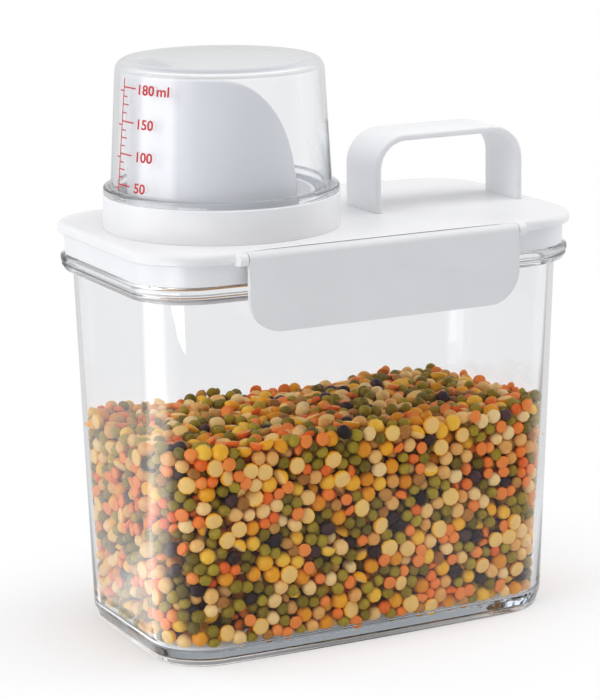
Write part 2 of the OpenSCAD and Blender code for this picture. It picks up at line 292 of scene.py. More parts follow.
for x in (HANDLE_X[0], HANDLE_X[1] - HANDLE_T):
    socket_half = HANDLE_W / 2 + SOCKET_GAP
    x0, x1 = x - SOCKET_GAP, x + HANDLE_T + SOCKET_GAP
    cut(lid, block((x0, -socket_half, SOCKET_Z[0]), (x1, socket_half, SOCKET_Z[1])))
modified(lid, "BEVEL", width=0.25 * MM, segments=2, limit_method="ANGLE", angle_limit=math.radians(50))
smooth(lid, 40)
print("lid faces:", len(lid.data.polygons))

# %% [markdown]
# The spout insert is turned like a bowl, but the scoop's rim falls away on one side in a long curve. So
# the ring's angles are taken from that curve, and the rim's rounding follows the curve's own normal.

# %% The spout
COLLAR_TOP, SCOOP_TOP, SCOOP_R, SCOOP_T = 160.0, 203.8, 33.5, 2.0
INNER_R, MID_R, RIM_R = SCOOP_R - SCOOP_T, SCOOP_R - SCOOP_T / 2, SCOOP_T / 2
CUT_START, CUT_LEN = -16.0, 30.5  # where the rim's curve starts from the spout's axis, and its run


def scoop_columns():
    """Angles round the spout and the rim's height at each, symmetric about the X axis."""
    curve = []
    for t in np.radians(np.linspace(0, 90, 31)):
        x = CUT_START + CUT_LEN * math.sin(t)
        curve.append((math.acos(x / SCOOP_R), COLLAR_TOP + (SCOOP_TOP - COLLAR_TOP) * math.cos(t)))
    low = [(a, COLLAR_TOP) for a in np.linspace(curve[-1][0], 0, 14)[1:]]
    high = [(a, SCOOP_TOP) for a in np.linspace(math.pi, curve[0][0], 18)[:-1]]
    half = high + curve + low
    return half + [(-a, z) for a, z in half[-2:0:-1]]


def rim_normals(points):
    """Unit normals that point from the rim's edge down into the wall, in the unrolled wall."""
    length = 2 * math.pi * MID_R
    normals = []
    for i, before in enumerate(np.roll(points, 1, axis=0)):
        d = points[(i + 1) % len(points)] - before
        d = d - (round(d[0] / length) * length, 0)
        d = d / np.hypot(*d)
        normals.append(np.array((d[1], -d[0]) if d[0] > 0 else (-d[1], d[0])))
    return normals


columns = scoop_columns()
inward = rim_normals(np.array([(MID_R * a, z) for a, z in columns]))


def scoop_ring(radius, drop, level=None):
    """One ring of the scoop's wall: below the rim by drop along its normal, or at a level."""
    ring = []
    for (a, z), v in zip(columns, inward):
        if level is None:
            angle, height = a + v[0] * drop / MID_R, z + v[1] * drop
        else:
            angle, height = a, level
        ring.append((SPOUT_X + radius * math.cos(angle), radius * math.sin(angle), height))
    return ring


def spout_rings():
    """Every ring of the spout, from the bottom of its tube round the scoop and the collar and back."""
    def level(section):
        return [scoop_ring(r, 0, z) for r, z in section]
    inner = level([(INNER_R, 142.5), (INNER_R, 150.0), (INNER_R, 158.5)])
    rim = []
    for i in range(7):
        turn = math.radians(180 * i / 6)
        rim.append(scoop_ring(MID_R - RIM_R * math.cos(turn), RIM_R * (1.02 - math.sin(turn))))
    outer = level([(SCOOP_R, 158.5), (SCOOP_R, 152.0)])
    rest = rounded([  # radius, height, fillet
        (SCOOP_R, 152.0, 0), (SCOOP_R, 150.2, 0.8), (39.9, 150.2, 0.8), (39.9, COLLAR_TOP, 0.35),
        (42.0, COLLAR_TOP, 0.5), (42.0, LID_TOP, 0.2), (SCOOP_R, LID_TOP, 0), (SCOOP_R, 144.4, 0.2),
        (34.3, 143.9, 0.2), (34.3, 142.8, 0.2), (SCOOP_R, 142.3, 0.2), (SCOOP_R, 142.0, 0.3),
        (INNER_R, 142.0, 0.3), (INNER_R, 142.5, 0)])
    return inner + rim + outer + level(rest[1:])


spout = smooth(skin("spout_moulding", spout_rings(), capped=False, closed=True), 40)
print("spout faces:", len(spout.data.polygons))

# %% [markdown]
# The measuring cup is a plain turned shape: thick clear plastic with a heavy rounded end, a flange that
# sits on the collar, and a mouth that drops inside it.

# %% The measuring cup
CUP_TOP, CUP_FOOT = 207.5, 162.6
CUP_TOP_R, CUP_FOOT_R, CUP_POLE_R = 36.6, 39.1, 0.01
CUP = [  # radius, height, fillet
    (CUP_POLE_R, 205.2, 0), (34.9, 205.2, 2.6), (37.4, CUP_FOOT, 0.6), (38.2, COLLAR_TOP, 1.0),
    (38.2, 152.9, 0.4), (39.3, 152.4, 0.4), (39.3, 154.2, 0.15), (38.5, 154.2, 0.1), (38.5, 156.2, 0.1),
    (39.3, 156.2, 0.15), (39.3, COLLAR_TOP, 0.3), (41.8, COLLAR_TOP, 0.5), (41.8, CUP_FOOT, 0.9),
    (CUP_FOOT_R, CUP_FOOT, 0.7), (CUP_TOP_R, CUP_TOP, 4.3), (CUP_POLE_R, CUP_TOP, 0)]
cup = smooth(turned("cup_moulding", rounded(CUP, 6), SPOUT_X, 128), 40)
print("cup faces:", len(cup.data.polygons))

# %% [markdown]
# The handle is a flat strap bent twice. Its section is a rounded strip, carried along the bend's path.

# %% The handle
HANDLE_TOP, BEND, BEND_STEPS, EDGE_R = 176.0, 12.5, 12, 0.8
LEG_Z = (144.9, 148.5, 155)


def strap_path():
    """Points of the strap's middle line with their outward directions, as (x, z, nx, nz)."""
    mid, spring = HANDLE_T / 2, HANDLE_TOP - BEND
    r = BEND - mid
    path = [(HANDLE_X[0] + mid, z, -1, 0) for z in (*LEG_Z, spring)]
    for x, start, first in ((HANDLE_X[0] + BEND, 180, 1), (HANDLE_X[1] - BEND, 90, 0)):
        for i in range(first, BEND_STEPS + 1):
            t = math.radians(start - 90 * i / BEND_STEPS)
            path.append((x + r * math.cos(t), spring + r * math.sin(t), math.cos(t), math.sin(t)))
    return path + [(HANDLE_X[1] - mid, z, 1, 0) for z in reversed(LEG_Z)]


def strap_section():
    """The rounded strip as (outward, across) pairs."""
    h, w, r = HANDLE_T / 2, HANDLE_W / 2, EDGE_R
    return [(so * (h - r) + r * math.cos(t), sa * (w - r) + r * math.sin(t))
            for so, sa, first in ((1, 1, 0), (-1, 1, 90), (-1, -1, 180), (1, -1, 270))
            for t in (math.radians(first + 22.5 * i) for i in range(5))]


strap_rings = [[(x + o * nx, a, z + o * nz) for o, a in strap_section()] for x, z, nx, nz in strap_path()]
strap = smooth(skin("handle_strap", strap_rings), 40)
print("handle faces:", len(strap.data.polygons))

# %% [markdown]
# A flap latch is a long plate with rounded lower corners. Along its top runs the knuckle of its hinge,
# squared off inward so that it closes the lid's top, and inside is the ridge that snaps under the rim.

# %% The flap latches
FLAP_OUT, FLAP_IN, FLAP_LOW, FLAP_CORNER = 54.3, 52.4, 120.0, 12.0
KNUCKLE_IN, KNUCKLE_TOP = 50.1, 147.8
RIDGE_HALF, RIDGE = 22, ((-52.5, 133.0), (-50.7, 132.2), (-50.7, 130.6), (-52.5, 129.8))


def flap(name, side):
    """One flap in its closed place, on the front (-1) or the back (1)."""
    plate = block((-FLAP_HALF, -FLAP_OUT, FLAP_LOW), (FLAP_HALF, -FLAP_IN, HINGE_Z), name)
    active(plate)
    bpy.ops.object.mode_set(mode="EDIT")
    bpy.ops.mesh.select_all(action="DESELECT")
    bpy.ops.mesh.select_mode(type="EDGE")
    mesh = bmesh.from_edit_mesh(plate.data)
    low = (FLAP_LOW + 1) * MM
    for edge in mesh.edges:
        one, two = (v.co for v in edge.verts)
        edge.select_set(one.z < low and two.z < low and abs(one.x - two.x) < 1e-6)
    bpy.ops.mesh.bevel(offset=FLAP_CORNER * MM, segments=14, affect="EDGES")
    bpy.ops.mesh.select_mode(type="VERT")
    bpy.ops.object.mode_set(mode="OBJECT")
    knuckle = rod(-FLAP_HALF, FLAP_HALF, -HINGE_Y, HINGE_Z, KNUCKLE_R, 64)
    squared = block((-FLAP_HALF, -HINGE_Y, HINGE_Z), (FLAP_HALF, -KNUCKLE_IN, KNUCKLE_TOP))
    ridge = skin("ridge", [[(x, y, z) for y, z in RIDGE] for x in (-RIDGE_HALF, RIDGE_HALF)])
    merged(plate, knuckle, squared, ridge)
    modified(plate, "BEVEL", width=0.5 * MM, segments=3, limit_method="ANGLE", angle_limit=math.radians(38))
    if side > 0:
        active(plate)
        bpy.ops.object.mode_set(mode="EDIT")
        bpy.ops.mesh.select_all(action="SELECT")
        bpy.ops.transform.mirror(constraint_axis=(False, True, False), center_override=(0, 0, 0))
        bpy.ops.mesh.normals_make_consistent(inside=False)
        bpy.ops.object.mode_set(mode="OBJECT")
    return smooth(plate, 40)


front_flap, back_flap = flap("front_flap", -1), flap("back_flap", 1)
print("flap faces:", len(front_flap.data.polygons))

# %% [markdown]
# The contents are thousands of loose pulses of six kinds. Each kind is modelled once, as a low ball that
# is squashed or given a flat face, and then copied. Only the grains near the walls and the top can be
# seen, so they are packed in a thick shell round a plain core, coloured dark brown as painted shade for
# the grains deep inside.

# %% The six kinds of grain
Kind = namedtuple("Kind", "name share length width thickness packing_r flat")
KINDS = (
    Kind("split_peas", 0.21, 6.6, 6.5, 4.2, 2.85, True),
    Kind("beige_peas", 0.16, 6.0, 5.5, 4.8, 2.65, False),
    Kind("mung_beans", 0.30, 4.9, 4.4, 4.3, 2.2, False),
    Kind("red_lentils", 0.24, 4.9, 4.7, 2.8, 1.95, True),
    Kind("brown_lentils", 0.05, 5.2, 4.9, 3.3, 2.05, False),
    Kind("dark_beans", 0.04, 6.0, 5.0, 4.7, 2.6, False))
UNDERSIDE, SPLIT_HEIGHT = 0.22, 1.5  # a split grain's lower half is flattened, and its dome is higher


def grain(kind):
    """One grain, lying with its flat or broad side down, as its vertices, faces and flat-face marks."""
    bpy.ops.object.select_all(action="DESELECT")
    bpy.ops.mesh.primitive_uv_sphere_add(segments=10, ring_count=6, radius=0.5)
    obj = bpy.context.object
    obj.name = kind.name
    bpy.ops.object.mode_set(mode="EDIT")
    height = kind.thickness
    if kind.flat:
        height *= SPLIT_HEIGHT
        mesh = bmesh.from_edit_mesh(obj.data)
        for vert in mesh.verts:
            vert.select_set(vert.co.z < -0.01)
        bpy.ops.transform.resize(value=(1.0, 1.0, UNDERSIDE), center_override=(0, 0, 0))
        bpy.ops.mesh.select_all(action="SELECT")
    bpy.ops.transform.resize(value=(kind.length, kind.width, height), center_override=(0, 0, 0))
    bpy.ops.object.mode_set(mode="OBJECT")
    points = np.array([v.co for v in obj.data.vertices])
    marks = (points[:, 2] < -0.01).astype(float) if kind.flat else np.zeros(len(points))
    points[:, 2] -= (points[:, 2].max() + points[:, 2].min()) / 2
    faces = [list(f.vertices) for f in obj.data.polygons]
    bpy.data.objects.remove(obj)
    return points, faces, marks


shapes = {kind.name: grain(kind) for kind in KINDS}
print({name: len(faces) for name, (_, faces, _) in shapes.items()})


# %% [markdown]
# The packing starts as a random cloud in the shell. Overlapping neighbours then push each other apart,
# and the walls, the floor and the heap's surface push them back, until the cloud is a tight packing.

# %% Pack the grains
FILL_TOP, SHELL, CLEAR = 79.5, 11.5, 2.45  # the heap's height, the shell's depth and the wall's thickness
GRAIN_FLOOR, INNER_CORNER = FLOOR_Z + 0.3, 20
CLOUD, TIGHTNESS, RELIEF = 60000, 0.66, (-1.8, 1.2)
STEPS, RENEW, NEAR, PUSH, DRIFT = 90, 5, 3.3, 0.42, 0.5


def heap_top(x, y):
    """The height of the heap's surface."""
    return FILL_TOP + 1.3 * np.sin(x / 27 + 0.6) * np.cos(y / 19) + 0.8 * np.sin(x / 13 - y / 17)


def wall_depth(p):
    """How far points lie inside the container's inner wall, and the direction towards the wall."""
    inset = wall_inset(p[:, 2]) + CLEAR
    a, b, r = HALF_L - inset, HALF_W - inset, INNER_CORNER - CLEAR
    bow = side_bow(p[:, 2])
    flat = np.stack([p[:, 0], p[:, 1] / (1 - bow / b * (p[:, 0] / a) ** 2)], 1)
    q = np.abs(flat) - np.stack([a - r, b - r], 1)
    out = np.maximum(q, 0)
    corner = np.hypot(out[:, 0], out[:, 1])
    depth = r - corner - np.minimum(q.max(1), 0)
    side = np.where((q[:, :1] > q[:, 1:]), [[1.0, 0.0]], [[0.0, 1.0]])
    normal = np.where(corner[:, None] > 1e-6, out / np.maximum(corner, 1e-6)[:, None], side) * np.sign(flat)
    return depth, normal


def in_shell(p):
    """Marks the points that are near enough to a wall or to the heap's surface to be seen."""
    depth, _ = wall_depth(p)
    under = heap_top(p[:, 0], p[:, 1]) - p[:, 2]
    return (depth > 0) & (under > 0) & ((depth < SHELL) | (under < SHELL))


def pack_grains(seed=7):
    """Centres, kinds and radii of all the grains."""
    rng = np.random.default_rng(seed)
    low, high = np.array([-80.0, -46.0, GRAIN_FLOOR]), np.array([80.0, 46.0, FILL_TOP + 2.5])
    cloud = rng.uniform(low, high, (CLOUD, 3))
    inside = in_shell(cloud)
    volume = np.prod(high - low) * inside.mean()
    shares = np.array([kind.share for kind in KINDS])
    radii = np.array([kind.packing_r for kind in KINDS])
    mean = float((shares * radii ** 3).sum() * 4 / 3 * math.pi)
    count = int(TIGHTNESS * volume / mean)
    p = cloud[inside][:count].copy()
    kind = rng.choice(len(KINDS), count, p=shares)
    r = radii[kind]
    rough = rng.uniform(*RELIEF, count)
    steps = STEPS
    for step in range(steps):
        if step % RENEW == 0:
            tree = KDTree(count)
            for i, point in enumerate(p):
                tree.insert(point, i)
            tree.balance()
            pairs = [(i, j) for i in range(count) for _, j, _ in tree.find_range(p[i], r[i] + NEAR) if j > i]
            first, second = np.array(pairs).T
        gap = p[second] - p[first]
        far = np.maximum(np.linalg.norm(gap, axis=1), 1e-6)
        overlap = np.maximum(r[first] + r[second] - far, 0)
        push = gap / far[:, None] * (overlap * PUSH)[:, None]
        for axis in range(3):
            p[:, axis] += np.bincount(second, push[:, axis], count) - np.bincount(first, push[:, axis], count)
        depth, normal = wall_depth(p)
        p[:, :2] -= normal * np.maximum(r - depth, 0)[:, None]
        p[:, 2] = np.maximum(p[:, 2], GRAIN_FLOOR + r * 0.8)
        ceiling = heap_top(p[:, 0], p[:, 1]) - r + rough
        p[:, 2] = np.minimum(p[:, 2], ceiling)
        under = ceiling - p[:, 2]
        lost = (depth > SHELL) & (under > SHELL)
        sideways = lost & (depth < under)
        p[sideways, :2] += normal[sideways] * DRIFT
        p[lost & ~sideways, 2] += DRIFT
    return p, kind, r


centres, kinds, radii = pack_grains()
print("grains:", len(centres))

# %% [markdown]
# Flat grains don't stand on edge by a wall: most of them lie against it, and those on top lie nearly
# level. Each kind is then one mesh, because thousands of separate objects would be slow. A grain's tone
# and its flat face are kept as attributes for the material.

# %% Lay each grain and join the kinds
def turn_from(z_axis, spin):
    """Rotation matrices that take Z to z_axis, after a spin about Z."""
    z = z_axis / np.linalg.norm(z_axis, axis=1)[:, None]
    helper = np.where(np.abs(z[:, 2:]) < 0.9, [[0.0, 0.0, 1.0]], [[1.0, 0.0, 0.0]])
    x = np.cross(helper, z)
    x /= np.linalg.norm(x, axis=1)[:, None]
    y = np.cross(z, x)
    c, s = np.cos(spin)[:, None], np.sin(spin)[:, None]
    return np.stack([c * x + s * y, c * y - s * x, z], 2)


def lay_grains(p, kind, r, seed=11):
    """Grains by a wall lie against it, and the ones on top lie flat. The rest lie anyhow."""
    rng = np.random.default_rng(seed)
    count = len(p)
    p = p.copy()
    up = rng.normal(size=(count, 3))
    depth, normal = wall_depth(p)
    half = np.array([k.thickness / 2 for k in KINDS])[kind]
    against = (depth < r + 1.0) & (rng.uniform(size=count) < 0.8)
    signs = rng.choice([-1.0, 1.0], count)[:, None]
    facing = np.stack([normal[:, 0], normal[:, 1], np.zeros(count)], 1) * signs
    up[against] = facing[against] + rng.normal(size=(count, 3))[against] * 0.12
    p[against, :2] += (normal * (depth - half - 0.15)[:, None])[against]
    on_top = ~against & (heap_top(p[:, 0], p[:, 1]) - p[:, 2] < r + 2.0)
    tilted = rng.normal(size=(count, 3)) * 0.45 + [0, 0, 1.0]
    up[on_top] = tilted[on_top] * rng.choice([-1.0, 1.0], count)[on_top, None]
    turns = turn_from(up, rng.uniform(0, 2 * math.pi, count))
    tones = rng.uniform(size=count)
    return p, turns, tones, rng.uniform(0.88, 1.07, count)


def heap_piece(index, p, turns, tones, sizes):
    """All grains of one kind as one mesh, with each grain's tone and its flat face as attributes."""
    name = KINDS[index].name
    points, faces, marks = shapes[name]
    n, m = len(points), len(p)
    co = np.einsum("gij,vj->gvi", turns, points) * sizes[:, None, None] + p[:, None, :]
    corners = np.concatenate([np.array(f) for f in faces])
    starts = np.cumsum([0] + [len(f) for f in faces[:-1]])
    mesh = bpy.data.meshes.new(name)
    mesh.vertices.add(n * m)
    mesh.vertices.foreach_set("co", (co * MM).astype(np.float32).ravel())
    mesh.loops.add(len(corners) * m)
    copy = np.arange(m)[:, None]
    mesh.loops.foreach_set("vertex_index", (corners[None, :] + n * copy).ravel().astype(np.int32))
    mesh.polygons.add(len(faces) * m)
    mesh.polygons.foreach_set("loop_start", (starts[None, :] + len(corners) * copy).ravel().astype(np.int32))
    mesh.update(calc_edges=True)
    mesh.shade_smooth()
    for label, values in (("tone", np.repeat(tones, n)), ("flat_face", np.tile(marks, m))):
        mesh.attributes.new(label, "FLOAT", "POINT").data.foreach_set("value", values.astype(np.float32))
    obj = bpy.data.objects.new(name, mesh)
    bpy.context.scene.collection.objects.link(obj)
    return obj


laid, turns, tones, sizes = lay_grains(centres, kinds, radii)
heaps = {}
for index, kind in enumerate(KINDS):
    mine = kinds == index
    heaps[kind.name] = heap_piece(index, laid[mine], turns[mine], tones[mine], sizes[mine])
CORE_DEPTH, CORE_DRAFT, CORE_Z = 8.0, 2.2, (FLOOR_Z + 3, FILL_TOP - 10)
core_inset = WALL_INSETS[0] + CLEAR + CORE_DEPTH
core = smooth(moulding("pulse_core", [(core_inset, CORE_Z[0]), (core_inset - CORE_DRAFT, CORE_Z[1])]), 30)
print({name: len(obj.data.polygons) for name, obj in heaps.items()})

# %% [markdown]
# The scale is printed ink: a line, ticks and plain numbers. They are made flat, thin and slightly proud,
# and then wrapped round the cup's taper.

# %% The printed scale
INK_T, INK_GAP, LEAN, LEAN_Z, WRAP_R = 0.06, 0.03, 0.065, 182, 37.9
MARKS, NEXT_MARK = ((199.7, "180 ml"), (187.8, "150"), (176.5, "100"), (165.6, "50")), 154.6
LINE_Z, LINE_HALF = (162.9, 202.7), 0.26
MAJOR, MAJOR_HALF, MINOR_HALF, LOWEST_MINOR = 7.6, 0.24, 0.2, 163.2
MINORS = ((0.27, 2.8), (0.5, 3.9), (0.75, 2.8))  # share of the way to the next mark, and length
LEFT_TICK, LEFT_TICK_DROP = -2.8, (1.6, 1.2)
LABEL_X, LABEL_DROP, LABEL_SIZE, LABEL_STRETCH = 9.2, 1.75, 4.8, 1.16


def wrap_on_cup(obj):
    """Bends a flat print in XY (mm along, height) round the cup, starting at its spout end."""
    for vert in obj.data.vertices:
        along, height, lift = vert.co / MM
        along += LEAN * (height - LEAN_Z)
        taper = (CUP_FOOT_R - CUP_TOP_R) / (CUP_TOP - CUP_FOOT)
        radius = CUP_FOOT_R - taper * (height - CUP_FOOT) + INK_GAP + lift
        angle = math.pi + along / WRAP_R
        vert.co = Vector((SPOUT_X + radius * math.cos(angle), radius * math.sin(angle), height)) * MM
    return obj


def strip(x0, x1, z0, z1):
    """A thin bar of ink, subdivided so that it can bend."""
    bar = block((x0, z0, 0), (x1, z1, INK_T), "ink")
    active(bar)
    bpy.ops.object.mode_set(mode="EDIT")
    bpy.ops.mesh.select_all(action="SELECT")
    bpy.ops.mesh.subdivide(number_cuts=2)
    bpy.ops.object.mode_set(mode="OBJECT")
    return bar


def label(text, height):
    """A number of the scale as thin flat ink."""
    bpy.ops.object.select_all(action="DESELECT")
    x = LABEL_X + (LEAN_Z - height) * (LEAN - 0.02)
    bpy.ops.object.text_add(location=(x * MM, (height - LABEL_DROP) * MM, 0))
    obj = bpy.context.object
    obj.data.body, obj.data.size, obj.data.extrude = text, LABEL_SIZE * MM, INK_T / 2 * MM
    obj.data.offset = 0.1 * MM
    obj.data.space_character, obj.data.space_word = 1.02, 0.5
    bpy.ops.object.convert(target="MESH")
    bpy.context.object.scale.x = LABEL_STRETCH
    bpy.ops.object.transform_apply(location=True, rotation=True, scale=True)
    return bpy.context.object


def print_scale():
    """The whole scale as one mesh on the cup."""
    ink = [strip(-LINE_HALF, LINE_HALF, *LINE_Z)]
    heights = [height for height, _ in MARKS]
    for (height, text), below in zip(MARKS, heights[1:] + [NEXT_MARK]):
        ink.append(strip(0.0, MAJOR, height - MAJOR_HALF, height + MAJOR_HALF))
        ink.append(strip(LEFT_TICK, 0.0, *(height - drop for drop in LEFT_TICK_DROP)))
        for share, reach in MINORS:
            level = height + (below - height) * share
            if level > LOWEST_MINOR:
                ink.append(strip(0.0, reach, level - MINOR_HALF, level + MINOR_HALF))
        ink.append(label(text, height))
    bpy.ops.object.select_all(action="DESELECT")
    for obj in ink:
        obj.select_set(True)
    bpy.context.view_layer.objects.active = ink[0]
    bpy.ops.object.join()
    ink[0].name = ink[0].data.name = "cup_scale"
    return wrap_on_cup(ink[0])


scale_print = print_scale()
print("scale faces:", len(scale_print.data.polygons))

# %% [markdown]
# Every new piece rides on the body that carries it, so that it moves with the joints, and takes the
# place of the plain solid that it was drawn over.

# %% Ride and replace
PLACES = (  # piece, node, body, slot
    (clear_body, "container", "container", "clear_plastic"),
    (lid, "lid", "lid", "white_plastic"),
    (spout, "spout", "lid", "spout_plastic"),
    (cup, "measuring_cup", "cup", "cup_plastic"),
    (strap, "handle", "lid", "handle_plastic"),
    (front_flap, "front_latch", "front_latch", "latch_plastic"),
    (back_flap, "back_latch", "back_latch", "latch_plastic"))
for piece, node, body, slot in PLACES:
    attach(piece, body)
    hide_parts(node)
for piece in (*heaps.values(), core):
    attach(piece, "container")
    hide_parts("pulse_fill")
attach(scale_print, "cup")
print("pieces placed:", len(PLACES) + len(heaps) + 2)

# %% [markdown]
# Shader maths is easier to read as sums. Wire wraps a socket, so that wire * 2 + 1 adds the Math nodes,
# and Recipe is one material with a method that adds any other node.

# %% A small shader notation
class Wire:
    def __init__(self, recipe, socket):
        self.recipe, self.socket = recipe, socket

    def math(self, operation, *others, first=None):
        values = (self, *others) if first is None else (first, self)
        return self.recipe.add("ShaderNodeMath", {"operation": operation}, *values)

    def __add__(self, other):
        return self.math("ADD", other)

    def __sub__(self, other):
        return self.math("SUBTRACT", other)

    def __mul__(self, other):
        return self.math("MULTIPLY", other)

    def __rsub__(self, other):
        return self.math("SUBTRACT", first=other)

    __radd__, __rmul__ = __add__, __mul__

    def between(self, low, high):
        """0 below low, 1 above high."""
        return self.recipe.add("ShaderNodeMapRange", {"clamp": True}, self, low, high, 0.0, 1.0)


class Recipe:
    def __init__(self, name, world=False):
        self.block = bpy.data.worlds.new(name) if world else bpy.data.materials.new(name)
        self.block.use_nodes = True
        self.tree = self.block.node_tree
        self.tree.nodes.clear()

    def feed(self, socket, value):
        if isinstance(value, Wire):
            self.tree.links.new(value.socket, socket)
        elif value is not None:
            socket.default_value = value

    def add(self, kind, settings=None, *values, out=0, **named):
        """A node of a kind: its settings first, then values or wires for its sockets, by order or name."""
        node = self.tree.nodes.new(kind)
        for key, value in (settings or {}).items():
            if key == "stops":
                ramp = node.color_ramp
                while len(ramp.elements) < len(value):
                    ramp.elements.new(1)
                for element, (place, colour) in zip(ramp.elements, value):
                    element.position, element.color = place, (*colour, 1)
            else:
                setattr(node, key, value)
        for socket, value in zip(node.inputs, values):
            self.feed(socket, value)
        for key, value in named.items():
            self.feed(node.inputs[key.replace("_", " ")], value)
        return Wire(self, node.outputs[out])

    def place(self):
        """The point on the piece, in metres."""
        return self.add("ShaderNodeTexCoord", out=3)

    def noise(self, scale, detail=2.0, roughness=0.5, at=None):
        return self.add("ShaderNodeTexNoise", None, Vector=at or self.place(), Scale=scale, Detail=detail,
                        Roughness=roughness)

    def blend(self, share, a, b):
        """A colour between two."""
        node = self.add("ShaderNodeMix", {"data_type": "RGBA"}, out=2)
        inputs = node.socket.node.inputs
        for socket, value in ((inputs[0], share), (inputs[6], a), (inputs[7], b)):
            self.feed(socket, value)
        return node

    def bump(self, height, strength, distance):
        return self.add("ShaderNodeBump", None, Strength=strength, Distance=distance, Height=height)

    def plastic(self, **named):
        return self.add("ShaderNodeBsdfPrincipled", None, **named)

    def done(self, shader, sort="ShaderNodeOutputMaterial", inside=None):
        """Joins the shader, and what fills the piece, to the output, and returns the material."""
        sheet = self.tree.nodes.new(sort)
        self.feed(sheet.inputs[0], shader)
        if inside is not None:
            self.feed(sheet.inputs["Volume"], inside)
        return self.block


def rgb(r, g, b):
    """A screen colour as linear light, for a colour socket."""
    shares = (r / 255, g / 255, b / 255)
    return *(c / 12.92 if c <= 0.04 else ((c + 0.055) / 1.055) ** 2.4 for c in shares), 1.0


def wear(obj, material):
    """Gives a piece its one material."""
    obj.data.materials.clear()
    obj.data.materials.append(material)


# %% [markdown]
# The clear plastic really bends and mirrors what is behind it, but light on its way to a grain goes
# straight through, as it would through a thin wall, so what is inside is lit. Light that is trapped in a
# thick edge is let out after a few bends. A little absorption inside the plastic hardly shows through a
# thin wall, but it greys the long way along an edge, which is what draws the edges of a real keeper.

# %% Clear plastic
MOST_BENDS = 5.0
EDGE_TINT, EDGE_DENSITY = (0.0, 0.08, 0.15, 1.0), 9.0
PLASTIC_IOR = 1.49


def clear_plastic(name, ripple, rough=0.0):
    """Clear moulded plastic with a slight ripple in its surface."""
    recipe = Recipe(name)
    waviness = recipe.noise(55.0, 1.0)
    tint = recipe.blend(recipe.noise(30.0, 2.0), rgb(254, 254, 255), rgb(252, 253, 254))
    glass = recipe.plastic(Base_Color=tint, Roughness=rough, IOR=PLASTIC_IOR, Transmission_Weight=1.0,
                           Normal=recipe.bump(waviness, ripple, 0.0004))
    shadow, diffuse, depth = (recipe.add("ShaderNodeLightPath", out=i) for i in (1, 2, 9))
    straight = recipe.add("ShaderNodeBsdfTransparent", None, rgb(251, 252, 253))
    let_out = recipe.add("ShaderNodeBsdfTransparent", None, rgb(228, 230, 233))
    trapped = depth.between(MOST_BENDS, MOST_BENDS + 0.5)
    view = recipe.add("ShaderNodeMixShader", None, trapped, glass, let_out)
    surface = recipe.add("ShaderNodeMixShader", None, shadow + diffuse, view, straight)
    absorbing = recipe.add("ShaderNodeVolumeAbsorption", None, EDGE_TINT, EDGE_DENSITY)
    return recipe.done(surface, inside=absorbing)


wear(clear_body, clear_plastic("clear_container_plastic", 0.12))
wear(cup, clear_plastic("clear_cup_plastic", 0.05, 0.02))
print("clear plastic on", clear_body.name, "and", cup.name)

# %% [markdown]
# The white mouldings are satin plastic: a fine spark-eroded grain in the bump, a broad unevenness in
# the gloss, and a hardly visible drift of colour.

# %% White plastic
def white_plastic(name, colour, rough=0.34):
    """Satin white plastic of one colour."""
    recipe = Recipe(name)
    drift = recipe.noise(28.0, 3.0).between(0.35, 0.65)
    shade = (*(c * 0.965 for c in colour[:3]), 1.0)
    grain = recipe.bump(recipe.noise(2600.0, 2.0), 0.25, 0.00003)
    gloss = recipe.noise(90.0, 3.0) * 0.12 + (rough - 0.06)
    return recipe.done(recipe.plastic(Base_Color=recipe.blend(drift, shade, colour), Roughness=gloss,
                                      IOR=PLASTIC_IOR, Normal=grain))


wear(lid, white_plastic("white_lid_plastic", rgb(235, 235, 237)))
wear(spout, white_plastic("white_spout_plastic", rgb(235, 235, 237), 0.3))
wear(strap, white_plastic("white_handle_plastic", rgb(238, 239, 241), 0.36))
# The latches' white is darker than the lid's: painted shade for their front faces, which turn away from the
# light.
for piece in (front_flap, back_flap):
    wear(piece, white_plastic("latch_plastic_painted_shade", rgb(226, 227, 229), 0.38))
print("white plastic on", [piece.name for piece in (lid, spout, strap, front_flap, back_flap)])

# %% [markdown]
# Seed coats are waxy: a soft gloss over a colour that changes from grain to grain. Split grains show
# their paler inside on the flat face.

# %% The pulses
COATS = {  # dark tone, middle, light tone, flat face
    "split_peas": (rgb(230, 140, 8), rgb(253, 174, 22), rgb(254, 200, 62), rgb(253, 208, 126)),
    "beige_peas": (rgb(232, 160, 76), rgb(250, 198, 118), rgb(253, 218, 152), rgb(240, 196, 130)),
    "mung_beans": (rgb(104, 88, 4), rgb(146, 122, 14), rgb(180, 154, 34), rgb(142, 120, 20)),
    "red_lentils": (rgb(234, 96, 18), rgb(252, 128, 40), rgb(254, 152, 68), rgb(250, 140, 58)),
    "brown_lentils": (rgb(150, 90, 30), rgb(186, 122, 50), rgb(214, 156, 76), rgb(186, 122, 50)),
    "dark_beans": (rgb(36, 18, 22), rgb(56, 34, 38), rgb(82, 54, 54), rgb(56, 34, 38))}


def seed_coat(name, dark, middle, light, flat):
    """A kind's coat: the grain's own tone and a fine mottle, and the flat face's colour over them."""
    recipe = Recipe(name + "_coat")
    tone = recipe.add("ShaderNodeAttribute", {"attribute_name": "tone"}, out=2)
    face = recipe.add("ShaderNodeAttribute", {"attribute_name": "flat_face"}, out=2)
    mottle = recipe.noise(420.0, 3.0) * 0.5 - 0.25
    stops = [(0.0, dark[:3]), (0.5, middle[:3]), (1.0, light[:3])]
    skin_colour = recipe.add("ShaderNodeValToRGB", {"stops": stops}, tone + mottle)
    coat = recipe.blend(face.between(0.55, 0.95) * 0.85, skin_colour, flat)
    fine = recipe.noise(1500.0, 2.0)
    return recipe.done(recipe.plastic(Base_Color=coat, Roughness=fine * 0.15 + 0.3, IOR=1.34,
                                      Normal=recipe.bump(fine, 0.25, 0.00008)))


for name, colours in COATS.items():
    wear(heaps[name], seed_coat(name, *colours))


